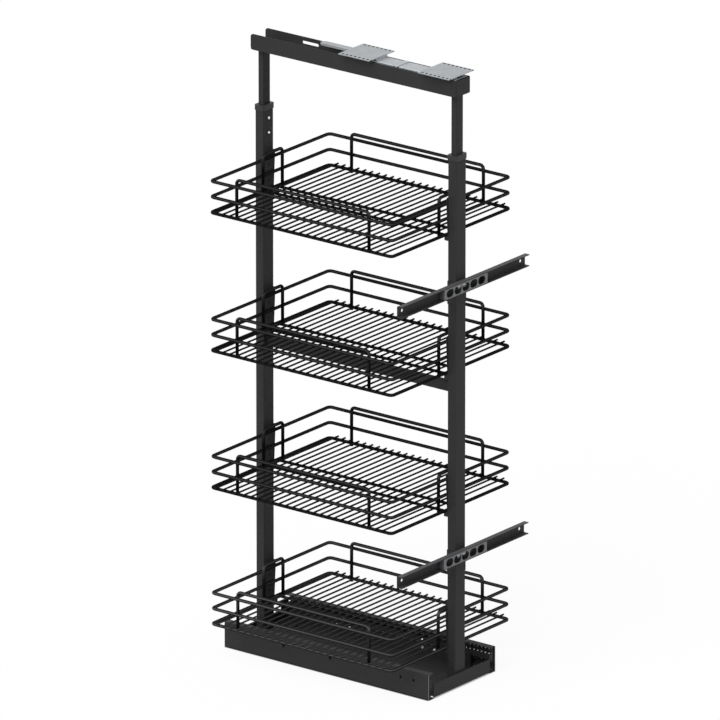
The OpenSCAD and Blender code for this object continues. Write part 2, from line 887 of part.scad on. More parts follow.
// Hanger of one basket on the rear post: a tapered plate with a grooved foot, open at the top
module hanger(n) {
    plate_in = post_in - hanger_t;
    shoulder = hanger_top_w/2 - hanger_r;
    groove_r = rail_d/2 + seat_gap;
    tip = ring_end - groove_r - hanger_tip;
    translate([0, 0, ring_z(n)]) difference() {
        union() {
            along_y(plate_in, post_in) {
                polygon([
                    [-hanger_foot_w/2, -hanger_down], [hanger_foot_w/2, -hanger_down],
                    [hanger_top_w/2, hanger_up - hanger_r], [shoulder, hanger_up],
                    [-shoulder, hanger_up], [-hanger_top_w/2, hanger_up - hanger_r]
                ]);
                for (s = [-1, 1]) {
                    translate([s*shoulder, hanger_up - hanger_r]) circle(hanger_r);
                }
            }
            along_x(hanger_foot_w) difference() {
                rect(tip, plate_in, -hanger_down, tip_up);
                translate([ring_end, 0]) circle(groove_r);
                rect(ring_end - groove_r, plate_in, 0, tip_up + cut);
            }
        }
        for (up = hanger_screws_at) {
            bar_y(0, up, plate_in - cut, post_in + cut, hanger_head_d + 2*fit_gap);
        }
    }
}

module hangers() {
    color(ANTHRACITE) for (n = [1:basket_count]) {
        hanger(n);
    }
}

module front_hangers() {
    at_front() hangers();
}

module rear_hangers() {
    hangers();
}

module hanger_screws() {
    for (n = [1:basket_count], up = hanger_screws_at) {
        z = ring_z(n) + up;
        bar_y(0, z, post_in - hanger_t, post_in, hanger_head_d);
        bar_y(0, z, post_in, post_in + post_wall, hanger_screw_d);
    }
}

module frame_screws() {
    color(ANTHRACITE) {
        hanger_screws();
        at_front() hanger_screws();
    }
}

// Door brackets, drawn at the rear and mirrored to the front

// Clamp round the inner corners and the sides of the front post, open behind the bracket's web
module clamp_sleeve(z) {
    grow = fit_gap + sheet;
    color(ANTHRACITE) at_front()
        translate([0, post_y, z + sleeve_rise - sleeve_h]) linear_extrude(sleeve_h) difference() {
            rounded_rect(post_w + 2*grow, post_t + 2*grow, post_r + grow);
            rounded_rect(post_w + 2*fit_gap, post_t + 2*fit_gap, post_r + fit_gap);
            rect(-post_w, post_w, post_t/2, post_t);
        }
}

module upper_clamp_sleeve() {
    clamp_sleeve(upper_bracket_z);
}

module lower_clamp_sleeve() {
    clamp_sleeve(lower_bracket_z);
}

module door_bracket(z) {
    color(ANTHRACITE) at_front() difference() {
        translate([0, 0, z]) along_x(bracket_len)
            bent_channel(web_back, bracket_front, -bracket_h/2, bracket_h/2, sheet);
        for (s = [-1, 1]) {
            bar_y(s*door_hole_span/2, z, web_back - cut, web_front + cut, door_hole_d);
        }
        bracket_screw_holes();
    }
}

module upper_door_bracket() {
    door_bracket(upper_bracket_z);
}

module lower_door_bracket() {
    door_bracket(lower_bracket_z);
}

module bracket_insert(z) {
    color(ZINC) at_front() translate([0, 0, z]) {
        along_y(bracket_front - insert_wall, bracket_front) difference() {
            square([insert_len, insert_h], center = true);
            for (i = [0:insert_slots - 1]) {
                translate([insert_pitch*(i - (insert_slots - 1)/2), 0])
                    obround(insert_slot_len, insert_slot_h);
            }
        }
        along_y(web_front, bracket_front - insert_wall) for (s = [-1, 1]) {
            translate([s*(insert_len - insert_wall)/2, 0])
                square([insert_wall, insert_leg_h], center = true);
        }
    }
}

module upper_bracket_insert() {
    bracket_insert(upper_bracket_z);
}

module lower_bracket_insert() {
    bracket_insert(lower_bracket_z);
}

module bracket_screws() {
    color(BRIGHT_STEEL) at_front() for (z = BRACKETS_Z, s = [-1, 1]) {
        bar_y(s*bracket_screw_span/2, z, web_front, web_front + bracket_head_h, bracket_head_d);
        bar_y(s*bracket_screw_span/2, z, post_out - post_wall, web_front, bracket_screw_d);
    }
}

// Telescoping head

module inner_tube() {
    color(ANTHRACITE) translate([0, post_y, tube_low]) linear_extrude(top_rail_z - tube_low) difference() {
        rounded_rect(tube_w, tube_t, tube_r);
        rounded_rect(tube_w - 2*tube_wall, tube_t - 2*tube_wall, tube_r - tube_wall);
    }
}

module front_inner_tube() {
    at_front() inner_tube();
}

module rear_inner_tube() {
    inner_tube();
}

module glide() {
    translate([0, post_y, tube_low - glide_end]) difference() {
        linear_extrude(glide_h)
            rounded_rect(bore_w - 2*slide_gap, bore_t - 2*slide_gap, tube_r/2);
        translate([0, 0, glide_end]) linear_extrude(glide_h)
            rounded_rect(tube_w + 2*fit_gap, tube_t + 2*fit_gap, tube_r + fit_gap);
    }
}

module tube_glides() {
    color(BLACK_PLASTIC) {
        glide();
        at_front() glide();
    }
}

// The front saddle's corners are cut rounder than the bend of the top rail that they lie in
module front_saddle() {
    front = sheet - half_len;
    color(ANTHRACITE) translate([0, 0, top_rail_z]) linear_extrude(saddle_t)
        front_closed_plan(top_half_in, front, front + front_saddle_len, front_r);
}

module rear_saddle() {
    color(ANTHRACITE) along_y(half_len - rear_saddle_len, half_len)
        rect(-top_half_in, top_half_in, top_rail_z, top_rail_z + saddle_t);
}

// Plan with round corners at its front
module front_closed_plan(half, front, rear, r) {
    rect(-half, half, front + r, rear);
    rect(r - half, half - r, front, front + r);
    for (s = [-1, 1]) {
        translate([s*(half - r), front + r]) circle(r);
    }
}

// Side view of the top rail: a bar with round rear corners
module round_ended_side() {
    rear = half_len - rear_r;
    rect(-base_len, rear, top_rail_z, top_rail_top);
    rect(rear - cut, half_len, top_rail_z + rear_r, top_rail_top - rear_r);
    for (z = [top_rail_z + rear_r, top_rail_top - rear_r]) {
        translate([rear, z]) circle(rear_r);
    }
}

module top_rail() {
    color(ANTHRACITE) difference() {
        intersection() {
            translate([0, 0, top_rail_z]) linear_extrude(top_rail_h) difference() {
                front_closed_plan(top_rail_w/2, -half_len, half_len, front_r);
                front_closed_plan(top_half_in, sheet - half_len, half_len + cut, front_r - sheet);
            }
            along_x(2*top_rail_w) round_ended_side();
        }
        translate([top_rail_w/2, slot_y, top_rail_top - slot_drop]) along_x(4*sheet)
            obround(slot_len, slot_h);
    }
}

// Top guide

module guide_channel(y0, y1) {
    color(ZINC) along_y(y0, y1) hung_channel(guide_w/2, guide_top, guide_h, guide_sheet);
}

module front_guide_channel() {
    guide_channel(guide_front, guide_joint);
}

module rear_guide_channel() {
    guide_channel(guide_joint, guide_rear);
}

module guide_clip() {
    half = guide_w/2 + slide_gap + clip_t;
    color(ZINC) along_y(guide_joint - clip_len/2, guide_joint + clip_len/2)
        hung_channel(half, guide_top + clip_t, clip_t + clip_leg, clip_t);
}

// Plate screwed under the cabinet's top, on two ribs over a guide channel
module guide_plate(y) {
    translate([0, y, 0]) {
        translate([0, 0, plate_under]) linear_extrude(plate_t) difference() {
            union() {
                square([plate_w, plate_len], center = true);
                children();
            }
            for (s = [-1, 1], i = [0:plate_holes - 1]) {
                translate([s*plate_hole_span/2, plate_hole_pitch*(i - (plate_holes - 1)/2)])
                    circle(d = plate_hole_d);
            }
        }
        for (s = [-1, 1]) {
            translate([s*rib_span/2, 0, guide_top + rib_h/2])
                cube([rib_w, plate_len - 2*rib_inset, rib_h], center = true);
        }
    }
}

module front_guide_plate() {
    color(ZINC) guide_plate(front_plate_y);
}

module rear_guide_plate() {
    color(ZINC) guide_plate(rear_plate_y) {
        rect(-tongue_w/2, tongue_w/2, 0, plate_len/2 + tongue_len - tongue_w/2);
        translate([0, plate_len/2 + tongue_len - tongue_w/2]) circle(d = tongue_w);
    }
}

module roller_pin() {
    shoulder = roller_low + roller_h + pin_end_gap;
    translate([0, 0, pin_low]) cylinder(h = pin_head_h, d = pin_head_d);
    translate([0, 0, pin_low]) cylinder(h = shoulder - pin_low, d = pin_d);
    translate([0, 0, shoulder]) cylinder(h = guide_under - shoulder, d = pin_head_d);
}

module roller_pins() {
    color(ZINC) for (y = [front_roller_y, rear_roller_y]) {
        translate([0, y, 0]) roller_pin();
    }
}

module guide_roller(y) {
    inner = pin_d/2 + pin_gap;
    outer = roller_d/2;
    color(NYLON) translate([0, y, roller_low]) rotate_extrude() polygon([
        [inner, 0], [outer - roller_chamfer, 0], [outer, roller_chamfer],
        [outer, roller_h - roller_chamfer], [outer - roller_chamfer, roller_h], [inner, roller_h]
    ]);
}

module front_guide_roller() {
    guide_roller(front_roller_y);
}

module rear_guide_roller() {
    guide_roller(rear_roller_y);
}

// Wire baskets, counted from the top

module basket_floor(n) {
    color(BLACK_WIRE) translate([0, 0, ring_z(n)]) {
        wire_loop(ring_half_x, ring_end, corner_r, rail_d);
        for (s = [-1, 1]) {
            bar_y(s*support_span/2, support_up, -ring_end, ring_end, support_d);
        }
        for (i = [-floor_each_way:floor_each_way]) {
            bar_x(i*floor_pitch, floor_up, 2*floor_half_x, floor_d);
        }
    }
}

module basket_rails(n) {
    color(BLACK_WIRE) translate([0, 0, ring_z(n)]) {
        for (step = [1, 2]) {
            translate([0, 0, step*rail_step]) wire_loop(rail_half_x, rail_half_y, corner_r, rail_d);
        }
        for (s = [-1, 1]) {
            translate([0, s*hoop_y, 0]) wire_hoop(end_hoop_w/2, -rail_d/2, hoop_up, corner_r, rail_d);
            translate([s*hoop_x, 0, 0]) rotate(90)
                wire_hoop(long_hoop_half, -rail_d/2, hoop_up, corner_r, rail_d);
        }
    }
}

outer_rail(-1);  // outer_rail_left
outer_rail(1);  // outer_rail_right
front_strap();
rear_strap();
rear_buffers();
outer_ball_strips();
outer_balls();
mid_rail(-1);  // mid_rail_left
mid_rail(1);  // mid_rail_right
mid_ball_strips();
mid_balls();
carriage_tray();
inner_rail(-1);  // inner_rail_left
inner_rail(1);  // inner_rail_right
inner_ball_strips();
inner_balls();
tray_screws();
front_foot();
rear_foot();
front_post();
rear_post();
front_collar();
rear_collar();
height_clamp_screws();
crossbar();
front_hangers();
rear_hangers();
frame_screws();
upper_clamp_sleeve();
lower_clamp_sleeve();
upper_door_bracket();
lower_door_bracket();
upper_bracket_insert();
lower_bracket_insert();
bracket_screws();
front_inner_tube();
rear_inner_tube();
tube_glides();
front_saddle();
rear_saddle();
top_rail();
front_guide_channel();
rear_guide_channel();
guide_clip();
front_guide_plate();
rear_guide_plate();
roller_pins();
front_guide_roller();
rear_guide_roller();
basket_floor(1);  // basket_1_floor
basket_rails(1);  // basket_1_rails
basket_floor(2);  // basket_2_floor
basket_rails(2);  // basket_2_rails
basket_floor(3);  // basket_3_floor
basket_rails(3);  // basket_3_rails
basket_floor(4);  // basket_4_floor
basket_rails(4);  // basket_4_rails
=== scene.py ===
"""Looks of the pull-out pantry frame: finishes, fine details, studio and camera."""
import json
import math
import random
from collections import namedtuple

import bmesh
import bpy
from mathutils import Matrix, Vector


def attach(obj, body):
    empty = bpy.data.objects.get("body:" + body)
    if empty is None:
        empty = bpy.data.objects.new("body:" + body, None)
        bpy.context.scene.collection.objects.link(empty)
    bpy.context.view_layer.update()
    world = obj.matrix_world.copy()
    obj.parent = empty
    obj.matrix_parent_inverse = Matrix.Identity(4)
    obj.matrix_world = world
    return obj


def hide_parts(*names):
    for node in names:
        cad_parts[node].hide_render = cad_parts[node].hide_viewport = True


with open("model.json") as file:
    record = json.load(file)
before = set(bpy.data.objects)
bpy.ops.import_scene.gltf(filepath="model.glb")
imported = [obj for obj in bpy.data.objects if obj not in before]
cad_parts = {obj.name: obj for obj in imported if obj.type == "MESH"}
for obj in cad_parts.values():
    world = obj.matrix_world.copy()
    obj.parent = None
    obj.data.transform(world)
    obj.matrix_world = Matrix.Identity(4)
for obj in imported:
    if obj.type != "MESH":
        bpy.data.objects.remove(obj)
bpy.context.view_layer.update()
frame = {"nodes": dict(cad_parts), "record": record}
nodes = frame["nodes"]
scene = bpy.context.scene

# Camera, from a fit of the photograph's edges: degrees, metres, and millimetres of sensor and lens
CAMERA_AZIMUTH = -52.287
CAMERA_ELEVATION = 18.938
CAMERA_DISTANCE = 31.1535
CAMERA_TARGET = Vector((-0.0003, 0.0004, 0.6173))
CLIP_START = 1.0
CLIP_END = 200.0
SENSOR_WIDTH = 36.0
CAMERA_LENS = 802.2

# Studio: degrees, metres, strengths and linear colours
WORLD_LIGHT = 0.40
KEY_AZIMUTH = -86.0
KEY_ELEVATION = 48.0
KEY_SPREAD = 50.0
KEY_STRENGTH = 2.45
KEY_DISTANCE = 6.0
FLOOR_RADIUS = 40.0
FLOOR_SEGMENTS = 128
FLOOR_DROP = 0.0005
FLOOR_COLOUR = (0.35, 0.35, 0.35)
FLOOR_SHADOW = 0.08
# Reach and levels of the painted contact shadow on the floor
PAINTED_CONTACT_REACH = 0.005
PAINTED_CONTACT_DARK = 0.45
PAINTED_CONTACT_CLEAR = 0.95

# Linear colours of the finishes
ANTHRACITE = (0.027, 0.027, 0.0285)
# Lighter copy of the anthracite for the door brackets, painted light for the shade in their
# channels
BRACKET_PAINTED_LIGHT_ANTHRACITE = (0.040, 0.040, 0.042)
HANGER_ANTHRACITE = (0.045, 0.045, 0.047)
# Painted highlight on the brackets' up-facing flanges
FLANGE_PAINTED_HIGHLIGHT = (0.085, 0.085, 0.089)
# Painted light on the rails' up-facing top flanges
RAIL_TOP_PAINTED_LIGHT = (0.050, 0.050, 0.052)
# Painted shade on the tray's floor
TRAY_FLOOR_PAINTED_SHADE = (0.023, 0.023, 0.024)
# Painted shade on the front of the rear inner tube
REAR_TUBE_FRONT_PAINTED_SHADE = (0.008, 0.008, 0.0085)
# Wire coats: a dark colour, and a painted highlight for the sides of lying wires
WIRE_BLACK = (0.006, 0.006, 0.0063)
WIRE_PAINTED_HIGHLIGHT = (0.042, 0.042, 0.0435)
FLOOR_WIRE_PAINTED_HIGHLIGHT = (0.014, 0.014, 0.0145)
# Lighter copy for the lowest basket as painted light, with its painted highlight
LOW_WIRE_PAINTED_LIGHT_BASE = (0.014, 0.014, 0.0145)
LOW_WIRE_PAINTED_HIGHLIGHT = (0.085, 0.085, 0.088)
ZINC = (0.46, 0.48, 0.50)
# Darker copy of the zinc for the guide plates, painted shade for the extra light their tops take
PLATE_ZINC_PAINTED_SHADE = (0.385, 0.405, 0.425)
INSERT_ZINC = (0.18, 0.185, 0.19)
SCREW_ZINC = (0.80, 0.80, 0.82)
BRIGHT_ZINC = (0.86, 0.86, 0.88)
BARE_STEEL = (0.40, 0.41, 0.43)
# Near white for the steel balls, a painted glint
BALL_PAINTED_GLINT_WHITE = (0.94, 0.94, 0.95)
HOLE_SHADE = (0.02, 0.02, 0.021)
PLASTIC_BLACK = (0.019, 0.019, 0.0195)
NYLON = (0.72, 0.70, 0.64)
RUBBER_BLACK = (0.014, 0.014, 0.015)

# Places that the finishes repeat from the solids, in metres
RAIL_WEB_X = 0.1054
RAIL_TOP_Z = 0.052
TRAY_FLOOR_Z = 0.0055
UPPER_LIP_Z = 0.833
LOWER_LIP_Z = 0.2825
FRONT_PLATE_Y = -0.208
REAR_PLATE_Y = -0.015
PLATE_ROW_X = 0.035
PLATE_PITCH = 0.010
PLATE_HOLE_R = 0.0027
CLIP_Y = -0.1005
# Half length of the clip's sides left clear of the painted shade at its ends
CLIP_UNSHADED_HALF = 0.0044


class Finish:
    """A material built node by node around one Principled shader."""

    # Shares of an axis in a normal from which a face looks along that axis, or squarely along it
    LOOKING = 0.9
    SQUARELY = 0.98
    # Metres up or down within which a face lies at a height
    AT_HEIGHT = 0.003
    # Agreement of the rounded and the true normal on a sharp edge and on a flat face
    EDGE_SAMPLES = 6
    ON_EDGE = 0.75
    ON_FLAT = 0.995
    # Upward share of the normal in the middle of a wire's side with painted highlight, its full and
    # its faded reach
    SIDE_RISE = 0.3
    SIDE_FULL = 0.1
    SIDE_FADED = 0.5

    def __init__(self, name, colour, roughness, metallic=0.0, specular=0.5):
        self.material = bpy.data.materials.new(name)
        self.material.use_nodes = True
        self.tree = self.material.node_tree
        self.shader = self.tree.nodes["Principled BSDF"]
        self.shader.inputs["Base Color"].default_value = (*colour, 1.0)
        self.shader.inputs["Roughness"].default_value = roughness
        self.shader.inputs["Metallic"].default_value = metallic
        self.shader.inputs["Specular IOR Level"].default_value = specular
        self.colour = colour
        self.place = self.tree.nodes.new("ShaderNodeTexCoord").outputs["Object"]

    def link(self, source, target):
        self.tree.links.new(source, target)

    def stretched(self, scale):
        """Object coordinates scaled apart along X, Y and Z."""
        mapping = self.tree.nodes.new("ShaderNodeMapping")
        mapping.inputs["Scale"].default_value = scale
        self.link(self.place, mapping.inputs["Vector"])
        return mapping.outputs["Vector"]

    def noise(self, scale, detail=2.0, place=None):
        node = self.tree.nodes.new("ShaderNodeTexNoise")
        node.inputs["Scale"].default_value = scale
        node.inputs["Detail"].default_value = detail
        self.link(place or self.place, node.inputs["Vector"])
        return node.outputs["Fac"]

    def spread(self, value, low, high, from_low=0.3, from_high=0.7):
        """A value brought from one range, by default the one that noise fills, into another."""
        node = self.tree.nodes.new("ShaderNodeMapRange")
        node.inputs["From Min"].default_value = from_low
        node.inputs["From Max"].default_value = from_high
        node.inputs["To Min"].default_value = low
        node.inputs["To Max"].default_value = high
        self.link(value, node.inputs["Value"])
        return node.outputs["Result"]

    def math(self, operation, *values):
        """A Math node whose inputs are numbers or other nodes' outputs."""
        node = self.tree.nodes.new("ShaderNodeMath")
        node.operation = operation
        for socket, value in zip(node.inputs, values):
            if isinstance(value, (int, float)):
                socket.default_value = value
            else:
                self.link(value, socket)
        return node.outputs["Value"]

    def away_from(self, value, middle):
        """Distance of a value from a number."""
        return self.math("ABSOLUTE", self.math("SUBTRACT", value, middle))

    def parts_of(self, vector):
        """X, Y and Z of a vector."""
        node = self.tree.nodes.new("ShaderNodeSeparateXYZ")
        self.link(vector, node.inputs["Vector"])
        return [node.outputs[axis] for axis in "XYZ"]

    def face_normal(self):
        """X, Y and Z of the flat normal."""
        geometry = self.tree.nodes.new("ShaderNodeNewGeometry")
        return self.parts_of(geometry.outputs["True Normal"])

    def edge(self, radius):
        """Near 0 on flat faces, rising along sharp edges within a radius."""
        bevel = self.tree.nodes.new("ShaderNodeBevel")
        bevel.samples = self.EDGE_SAMPLES
        bevel.inputs["Radius"].default_value = radius
        geometry = self.tree.nodes.new("ShaderNodeNewGeometry")
        dot = self.tree.nodes.new("ShaderNodeVectorMath")
        dot.operation = "DOT_PRODUCT"
        self.link(bevel.outputs["Normal"], dot.inputs[0])
        self.link(geometry.outputs["Normal"], dot.inputs[1])
        return self.spread(dot.outputs["Value"], 1.0, 0.0, self.ON_EDGE, self.ON_FLAT)

    def painted_light_sides(self):
        """1 on the sides of lying wires that look out and a little up, where their highlight is
        painted, 0 above and below them.
        """
        geometry = self.tree.nodes.new("ShaderNodeNewGeometry")
        rise = self.parts_of(geometry.outputs["Normal"])[2]
        away = self.away_from(rise, self.SIDE_RISE)
        return self.spread(away, 1.0, 0.0, self.SIDE_FULL, self.SIDE_FADED)

    def sawn_web(self, web_inside):
        """1 on faces square to Y that lie further out than the inside of the rails' webs."""
        along = self.math("ABSOLUTE", self.face_normal()[1])
        end = self.math("GREATER_THAN", along, self.SQUARELY)
        across = self.math("ABSOLUTE", self.parts_of(self.place)[0])
        return self.math("MULTIPLY", end, self.math("GREATER_THAN", across, web_inside))

    def frontward(self):
        """1 on faces that look to the front."""
        return self.math("LESS_THAN", self.face_normal()[1], -self.LOOKING)

    def upward_at(self, height):
        """1 on faces that look up and lie about at a height."""
        up = self.math("GREATER_THAN", self.face_normal()[2], self.LOOKING)
        away = self.away_from(self.parts_of(self.place)[2], height)
        return self.math("MULTIPLY", up, self.math("LESS_THAN", away, self.AT_HEIGHT))

    def side_ends(self, middle_y, half):
        """1 on faces square to X that lie further than a half length from a middle along Y."""
        across = self.math("ABSOLUTE", self.face_normal()[0])
        side = self.math("GREATER_THAN", across, self.LOOKING)
        away = self.away_from(self.parts_of(self.place)[1], middle_y)
        return self.math("MULTIPLY", side, self.math("GREATER_THAN", away, half))

    def hole_rows(self, row_x, first_y, pitch, radius):
        """1 within a radius of the holes of two rows along Y, at equal distances from X = 0."""
        x, y, _ = self.parts_of(self.place)
        across = self.math("SUBTRACT", self.math("ABSOLUTE", x), row_x)
        along = self.math("WRAP", self.math("SUBTRACT", y, first_y), pitch / 2, -pitch / 2)
        squares = self.math("ADD", self.math("MULTIPLY", across, across),
                            self.math("MULTIPLY", along, along))
        return self.math("LESS_THAN", self.math("POWER", squares, 0.5), radius)

    def mix(self, blend_type="MIX"):
        node = self.tree.nodes.new("ShaderNodeMix")
        node.data_type = "RGBA"
        node.blend_type = blend_type
        return node

    def over(self, colour, value, other):
        """A colour that gives way to another one, led by a value from 0 to 1."""
        mix = self.mix()
        mix.inputs["B"].default_value = (*other, 1.0)
        self.link(colour, mix.inputs["A"])
        self.link(value, mix.inputs["Factor"])
        return mix.outputs["Result"]

    def tint(self, value, low, high):
        """Colour between two shares of the base colour, led by a value from 0 to 1."""
        mix = self.mix()
        mix.inputs["A"].default_value = (*(c * low for c in self.colour), 1.0)
        mix.inputs["B"].default_value = (*(c * high for c in self.colour), 1.0)
        self.link(value, mix.inputs["Factor"])
        return mix.outputs["Result"]

    def times(self, colour, value, low, high):
        """A colour multiplied by a grey between two levels, led by a value from 0 to 1."""
        mix = self.mix("MULTIPLY")
        mix.inputs["Factor"].default_value = 1.0
        self.link(colour, mix.inputs["A"])
        grey = self.tree.nodes.new("ShaderNodeCombineColor")
        level = self.spread(value, low, high, 0.0, 1.0)
        for channel in ("Red", "Green", "Blue"):
            self.link(level, grey.inputs[channel])
        self.link(grey.outputs["Color"], mix.inputs["B"])
        return mix.outputs["Result"]

    def bump(self, value, distance, strength):
        node = self.tree.nodes.new("ShaderNodeBump")
        node.inputs["Distance"].default_value = distance
        node.inputs["Strength"].default_value = strength
        self.link(value, node.inputs["Height"])
        self.link(node.outputs["Normal"], self.shader.inputs["Normal"])

    def set(self, socket, value):
        self.link(value, self.shader.inputs[socket])


def powder_coat(name, colour, roughness, gloss, edge_shade, painted_side_light=None, front_colour=None,
                web_inside=None, lip=None):
    """Powder-coated steel: orange peel, faint clouds and painted shade along edges.

    Lying wires may have a painted highlight on their sides, and tubes painted shade on their front.
    Rails show bare steel where their webs are sawn off; a painted up face is the height and the
    colour of painted light or shade on faces that look up.
    """
    f = Finish(name, colour, roughness, specular=gloss)
    clouds = f.spread(f.noise(scale=14.0, detail=3.0), 0.0, 1.0)
    body = f.tint(clouds, low=0.93, high=1.07)
    # Painted shade along sharp edges
    body = f.times(body, f.edge(radius=0.0011), low=1.0, high=edge_shade)
    # Painted highlight on the sides of lying wires
    if painted_side_light:
        body = f.over(body, f.painted_light_sides(), painted_side_light)
    # Painted shade on faces that look to the front
    if front_colour:
        body = f.over(body, f.frontward(), front_colour)
    if web_inside:
        body = f.over(body, f.sawn_web(web_inside), BARE_STEEL)
    # Painted light or shade on faces that look up at one height
    if lip:
        height, lip_colour = lip
        body = f.over(body, f.upward_at(height), lip_colour)
    f.set("Base Color", body)
    f.set("Roughness", f.spread(f.noise(scale=220.0), roughness - 0.06, roughness + 0.06))
    f.bump(f.noise(scale=950.0), distance=0.00006, strength=0.6)
    return f.material


def anthracite(name, colour=ANTHRACITE, **marks):
    """The frame's satin powder coat."""
    return powder_coat(name, colour, roughness=0.58, gloss=0.2, edge_shade=0.5, **marks)


def wire_coat(name, colour, painted_highlight):
    """The baskets' dark matt coat, with a painted highlight on the sides that lying wires turn out
    and a little up.
    """
    return powder_coat(name, colour, roughness=0.65, gloss=0.02, edge_shade=0.9, painted_side_light=painted_highlight)


def zinc_plate(name, colour=ZINC, roughness=0.42, metallic=0.7, first_hole_y=None, painted_end_shade=None):
    """Zinc-plated sheet: fine rolling streaks, soft spangles, painted shade along edges and in
    punched holes.

    The rows of holes start at a place along Y. Painted shade at the ends lies beyond a half length
    from a middle.
    """
    f = Finish(name, colour, roughness, metallic=metallic)
    streaks = f.noise(scale=60.0, detail=4.0, place=f.stretched((18.0, 0.8, 18.0)))
    spangle = f.noise(scale=55.0)
    body = f.tint(f.spread(streaks, 0.0, 1.0), low=0.90, high=1.08)
    body = f.times(body, f.spread(spangle, 0.0, 1.0), low=0.94, high=1.04)
    # Painted shade along sharp edges
    body = f.times(body, f.edge(radius=0.0006), low=1.0, high=0.72)
    if first_hole_y is not None:
        # Painted shade in the punched holes and a thin ring round them
        holes = f.hole_rows(PLATE_ROW_X, first_hole_y, PLATE_PITCH, PLATE_HOLE_R)
        body = f.over(body, holes, HOLE_SHADE)
    if painted_end_shade:
        # Painted shade at the ends of the clip's sides
        body = f.over(body, f.side_ends(*painted_end_shade), HOLE_SHADE)
    f.set("Base Color", body)
    f.set("Roughness", f.spread(streaks, roughness - 0.07, roughness + 0.08))
    f.bump(streaks, distance=0.00003, strength=0.5)
    return f.material


def polished_steel(name, colour, roughness, metallic):
    """Bright steel with faint turning marks."""
    f = Finish(name, colour, roughness, metallic=metallic)
    marks = f.noise(scale=700.0, detail=3.0)
    f.set("Base Color", f.tint(f.spread(marks, 0.0, 1.0), low=0.92, high=1.06))
    f.set("Roughness", f.spread(marks, roughness - 0.05, roughness + 0.07))
    return f.material


def moulded_plastic(name, colour, roughness, grain, painted_edge_highlight=None):
    """Moulded plastic with an eroded grain, and a painted highlight that may lie along its edges.
    """
    f = Finish(name, colour, roughness, specular=0.4)
    body = f.tint(f.spread(f.noise(scale=30.0), 0.0, 1.0), low=0.92, high=1.08)
    if painted_edge_highlight:
        # Painted highlight along edges
        body = f.times(body, f.edge(radius=0.0014), low=1.0, high=painted_edge_highlight)
    f.set("Base Color", body)
    f.set("Roughness", f.spread(f.noise(scale=400.0), roughness - 0.05, roughness + 0.05))
    f.bump(f.noise(scale=grain, detail=3.0), distance=0.00005, strength=0.6)
    return f.material


# Finish of each material slot of the record
FINISHES = {
    "anthracite_steel": anthracite("anthracite_powder_coat"),
    "wire_coating": wire_coat("black_wire_coat_painted_side_light", WIRE_BLACK, WIRE_PAINTED_HIGHLIGHT),
    "zinc_steel": zinc_plate("zinc_plate"),
    "screw_steel": polished_steel("screw_zinc", SCREW_ZINC, roughness=0.28, metallic=0.4),
    # Steel balls in near white, a painted glint
    "ball_steel": polished_steel("ball_steel", BALL_PAINTED_GLINT_WHITE, roughness=0.15, metallic=0.1),
    "black_plastic": moulded_plastic("black_plastic", PLASTIC_BLACK, roughness=0.5, grain=1400.0),
    "nylon": moulded_plastic("natural_nylon", NYLON, roughness=0.42, grain=900.0),
    "rubber": moulded_plastic("black_rubber", RUBBER_BLACK, roughness=0.75, grain=1100.0),
}

